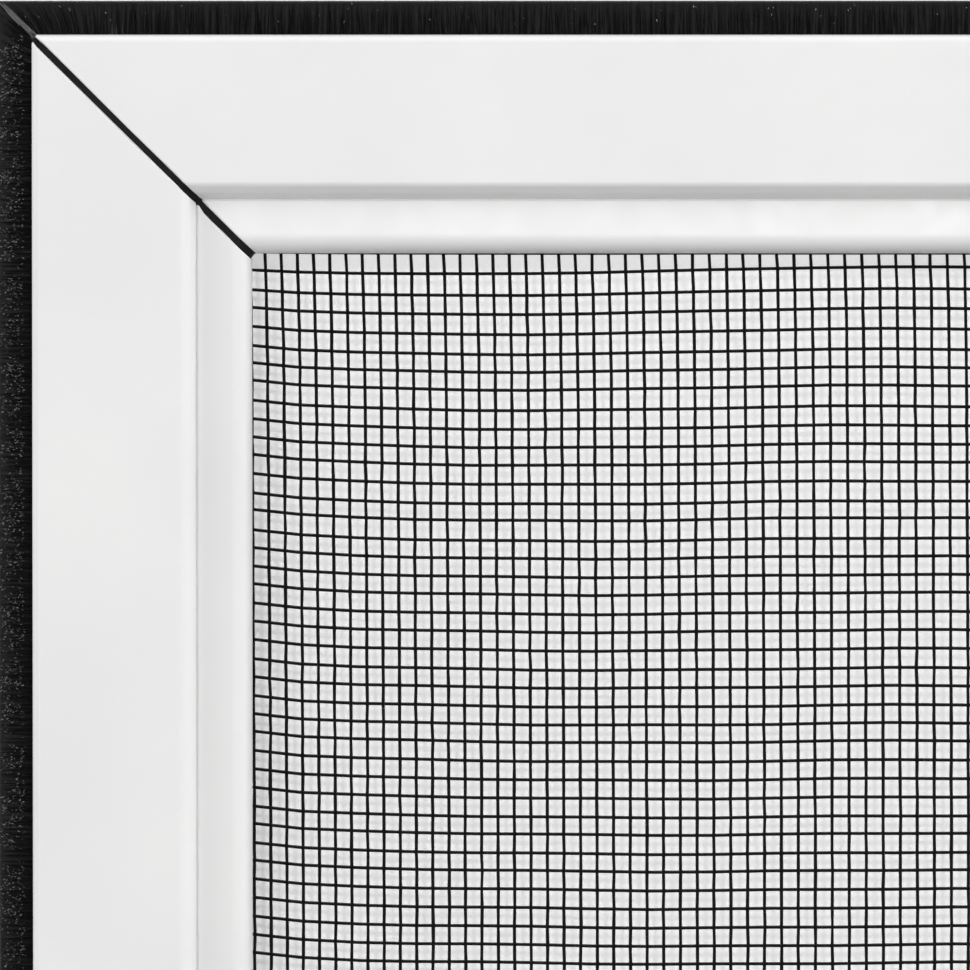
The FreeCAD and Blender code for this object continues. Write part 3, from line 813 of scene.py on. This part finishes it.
def one_screw(finish):
    """Points and faces of a countersunk screw with a cross recess."""
    turns = np.linspace(0, 2 * math.pi, SCREW_STEPS, endpoint=False)
    points = [(r * math.cos(t), y, r * math.sin(t)) for r, y in SCREW_PROFILE for t in turns]
    faces = ring_faces(len(SCREW_PROFILE), SCREW_STEPS)
    body = new_piece("screw_body", points, faces, finish, sharp=SHARP_SCREW)
    points, faces = [], []
    for wide, tall in ((SLOT_LONG, SLOT_WIDE), (SLOT_WIDE, SLOT_LONG)):
        faces += [tuple(len(points) + corner for corner in face) for face in BOX_FACES]
        for y, share in SLOT_TAPER:
            for x, z in ((-1, -1), (1, -1), (1, 1), (-1, 1)):
                points.append((x * wide * share, y, z * tall * (0.6 + 0.4 * share)))
    cutter = new_piece("screw_cutter", points, faces, finish)
    cut = body.modifiers.new("recess", "BOOLEAN")
    cut.object = cutter
    cut.solver = "EXACT"
    cut.use_self = True
    bpy.context.view_layer.update()
    ready = body.evaluated_get(bpy.context.evaluated_depsgraph_get())
    mesh = bpy.data.meshes.new_from_object(ready)
    points = np.array([vertex.co for vertex in mesh.vertices]) / MM
    faces = [tuple(polygon.vertices) for polygon in mesh.polygons]
    bpy.data.objects.remove(cutter)
    bpy.data.objects.remove(body)
    return points, faces


def make_screws():
    """Eight screws, two on each hook's plate."""
    finish = screw_steel()
    one_points, one_faces = one_screw(finish)
    x, y, z = one_points.T
    points, faces = [], []
    for screw in (-1, 1):
        for side_z in (-1, 1):
            for side_x in (-1, 1):
                turn = seeded.uniform(0, math.pi / 2)
                turned_x = x * math.cos(turn) - z * math.sin(turn)
                turned_z = x * math.sin(turn) + z * math.cos(turn)
                place_x = side_x * HOOK_PLACE + screw * SCREW_PLACE
                place_z = side_z * (HALF_HEIGHT - SCREW_INSET)
                base = len(points) * len(one_points)
                points.append(np.stack([turned_x + place_x, y, turned_z + place_z], axis=1))
                faces += [tuple(base + corner for corner in face) for face in one_faces]
    points = np.concatenate(points)
    name, node = "recessed_hook_screws", "hook_screws"
    new_piece(name, points, faces, finish, [node], SHARP_SCREW)


def dress_solids(nylon):
    """Finishes for the solids that stay as they are, by the end of their names."""
    level_cord, upright_cord = spline_cord("X"), spline_cord("Z")
    finishes = {
        "_corner_key": nylon,
        "_brush_backing": brush_backing(),
        "_hook": hook_steel(),
        "top_spline": level_cord,
        "bottom_spline": level_cord,
        "left_spline": upright_cord,
        "right_spline": upright_cord,
    }
    for name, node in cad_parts.items():
        for ending, finish in finishes.items():
            if name.endswith(ending):
                for slot in node.material_slots:
                    slot.material = finish


# The room

FLOOR_LEVEL = -253.6
FLOOR_HALF = 4000
# Metres from the middle over which the floor fades, and its glow there
FLOOR_FADE = 0.4, 3.2
FLOOR_GLOW = 0.44, 0.8

CARD_HALF_X, CARD_HALF_Z = 186, 236
CARD_LEFT_Y, CARD_RIGHT_Y = 3.2, 7.2
CARD_GLOW, CARD_LEAST = 0.395, 0.05
# Glow added at the opening's top, as painted light against the shadow that the lip casts on the
# card, and painted shade at its sides, where the stiles shade the card, and in metres their place
# and how far it reaches
CARD_TOP_GLOW, CARD_TOP, CARD_TOP_REACH = 0.18, 0.2317, 0.011
CARD_SIDE_SHADE, CARD_SIDE, CARD_SIDE_REACH = -0.19, 0.1816, 0.0028

SKY_LIGHT = 0.37
SKY_SHOWN = 0.93

# Lamps: place, target, size and power, in metres and watts
CORNER = (-0.16, 0, 0.21)
LAMPS = {
    "key": ((0.02, -1.05, 1.26), CORNER, 1.1, 3.4),
    "top": ((-0.16, -0.55, 1.6), CORNER, 1.2, 4),
    "right": ((1.3, -0.5, 0.5), CORNER, 0.9, 10.4),
    "left": ((-1.6, -0.5, 0.5), CORNER, 0.9, 8.6),
    "front": ((0.0, -1.24, 0.455), CORNER, 0.08, 3.9),
    "rear_fill": ((-0.5, 1.4, 0.9), (0, 0, 0), 0.8, 16),
}

VIEW_X, VIEW_Z = -161.95, 212.23
VIEW_SPAN = 81.5
VIEW_DISTANCE = 1250.0
VIEW_RISE = math.radians(3)
SENSOR = 36


def flat_stage(name, corners, finish):
    """A flat four-sided piece of the room."""
    mesh = bpy.data.meshes.new(name)
    mesh.from_pydata((np.array(corners) * MM).tolist(), [], [(0, 1, 2, 3)])
    mesh.materials.append(finish)
    piece = bpy.data.objects.new(name, mesh)
    bpy.context.scene.collection.objects.link(piece)


def seen_ray(tree):
    """One for a ray from the camera, straight or by way of a glossy or clear surface, and else
    nothing."""
    path = tree.nodes.new("ShaderNodeLightPath")
    seen = path.outputs["Is Camera Ray"]
    for ray in ("Is Glossy Ray", "Is Transmission Ray"):
        either = tree.nodes.new("ShaderNodeMath")
        either.operation = "MAXIMUM"
        tree.links.new(seen, either.inputs[0])
        tree.links.new(path.outputs[ray], either.inputs[1])
        seen = either.outputs[0]
    return seen


def camera_glow(paint, level):
    """A stage piece's finish with a glow that lights nothing else."""
    glow = paint.add("ShaderNodeEmission")
    paint.feed(seen_ray(paint.tree), glow.inputs["Strength"])
    paint.feed(level, glow.inputs["Color"])
    both = paint.add("ShaderNodeAddShader")
    paint.feed(paint.surface.outputs[0], both.inputs[0])
    paint.feed(glow.outputs[0], both.inputs[1])
    return both.outputs[0]


def make_floor():
    """A pale floor that fades into the background."""
    paint = Nodes("floor_paint")
    paint.set(Base_Color=grey(0.32), Roughness=0.8, Specular_IOR_Level=0.1)
    away = paint.add("ShaderNodeVectorMath", operation="LENGTH")
    paint.feed(paint.place, away.inputs[0])
    near, far = FLOOR_FADE
    level = paint.remap(away.outputs["Value"], *FLOOR_GLOW, low=near, high=far)
    paint.feed(camera_glow(paint, level), paint.out)
    ways = (-1, -1), (1, -1), (1, 1), (-1, 1)
    corners = [(x * FLOOR_HALF, y * FLOOR_HALF, FLOOR_LEVEL) for x, y in ways]
    flat_stage("floor", corners, paint.material)


def make_card():
    """A pale card close behind the net, which shows only from the front. It stands a little
    askew. Its glow has painted light near the opening's top and painted shade near its sides."""
    paint = Nodes("card_paint")
    paint.set(Base_Color=grey(0.84), Roughness=0.9, Specular_IOR_Level=0.1)
    parts = paint.add("ShaderNodeSeparateXYZ")
    paint.feed(paint.place, parts.inputs[0])

    def near(place, edge, reach):
        """One at the edge, and less further in."""
        from_edge = paint.math("SUBTRACT", place, edge)
        return paint.math("EXPONENT", paint.math("DIVIDE", from_edge, reach))

    # Painted light near the opening's top, and painted shade near its sides
    near_top = near(parts.outputs["Z"], CARD_TOP, CARD_TOP_REACH)
    aside = paint.math("ABSOLUTE", parts.outputs["X"])
    near_side = near(aside, CARD_SIDE, CARD_SIDE_REACH)
    level = paint.math("MULTIPLY_ADD", near_top, CARD_TOP_GLOW, CARD_GLOW)
    level = paint.math("MULTIPLY_ADD", near_side, CARD_SIDE_SHADE, level)
    front = camera_glow(paint, paint.math("MAXIMUM", level, CARD_LEAST))
    backfacing = paint.add("ShaderNodeNewGeometry").outputs["Backfacing"]
    shadow = paint.add("ShaderNodeLightPath").outputs["Is Shadow Ray"]
    choose = paint.add("ShaderNodeMixShader")
    paint.feed(paint.math("MAXIMUM", backfacing, shadow), choose.inputs[0])
    paint.feed(front, choose.inputs[1])
    paint.feed(paint.add("ShaderNodeBsdfTransparent").outputs[0], choose.inputs[2])
    paint.feed(choose.outputs[0], paint.out)
    left, right = (-CARD_HALF_X, CARD_LEFT_Y), (CARD_HALF_X, CARD_RIGHT_Y)
    low, high = (-CARD_HALF_Z,), (CARD_HALF_Z,)
    flat_stage("card", [left + low, right + low, right + high, left + high], paint.material)


def make_sky():
    """Even light from all round, and a paler sky where the camera or a glossy surface sees it."""
    world = bpy.data.worlds.new("sky")
    bpy.context.scene.world = world
    world.use_nodes = True
    tree = world.node_tree
    light = tree.nodes["Background"]
    light.inputs["Color"].default_value = (1, 1, 1, 1)
    light.inputs["Strength"].default_value = SKY_LIGHT
    shown = tree.nodes.new("ShaderNodeBackground")
    shown.inputs["Color"].default_value = (*grey(SKY_SHOWN), 1)
    choose = tree.nodes.new("ShaderNodeMixShader")
    tree.links.new(seen_ray(tree), choose.inputs[0])
    tree.links.new(light.outputs[0], choose.inputs[1])
    tree.links.new(shown.outputs[0], choose.inputs[2])
    tree.links.new(choose.outputs[0], tree.nodes["World Output"].inputs["Surface"])


def make_lamp(name, place, target, size, power):
    """A round soft lamp that faces its target."""
    lamp = bpy.data.lights.new(name, "AREA")
    lamp.shape = "DISK"
    lamp.size = size
    lamp.energy = power
    item = bpy.data.objects.new(name, lamp)
    bpy.context.scene.collection.objects.link(item)
    item.location = place
    x, y, z = np.array(target, float) - np.array(place, float)
    tilt, turn = math.atan2(math.hypot(x, y), -z), math.atan2(y, x) - math.pi / 2
    item.rotation_euler = (tilt, 0, turn)


def make_camera():
    """At the top left corner from the front, a little from above, through a long lens."""
    camera = bpy.data.cameras.new("camera")
    camera.sensor_width = SENSOR
    camera.lens = SENSOR * VIEW_DISTANCE / VIEW_SPAN
    camera.clip_start = 0.01
    item = bpy.data.objects.new("camera", camera)
    bpy.context.scene.collection.objects.link(item)
    back, up = VIEW_DISTANCE * math.cos(VIEW_RISE), VIEW_DISTANCE * math.sin(VIEW_RISE)
    item.location = (VIEW_X * MM, -(DEPTH + back) * MM, (VIEW_Z + up) * MM)
    item.rotation_euler = (math.pi / 2 - VIEW_RISE, 0, 0)
    bpy.context.scene.camera = item


bpy.context.scene.view_settings.view_transform = "Standard"
make_camera()
nylon = black_nylon()
make_rails()
make_fins(nylon)
make_net()
make_brushes()
make_screws()
dress_solids(nylon)
make_floor()
make_card()
make_sky()
for name, settings in LAMPS.items():
    make_lamp(name, *settings)
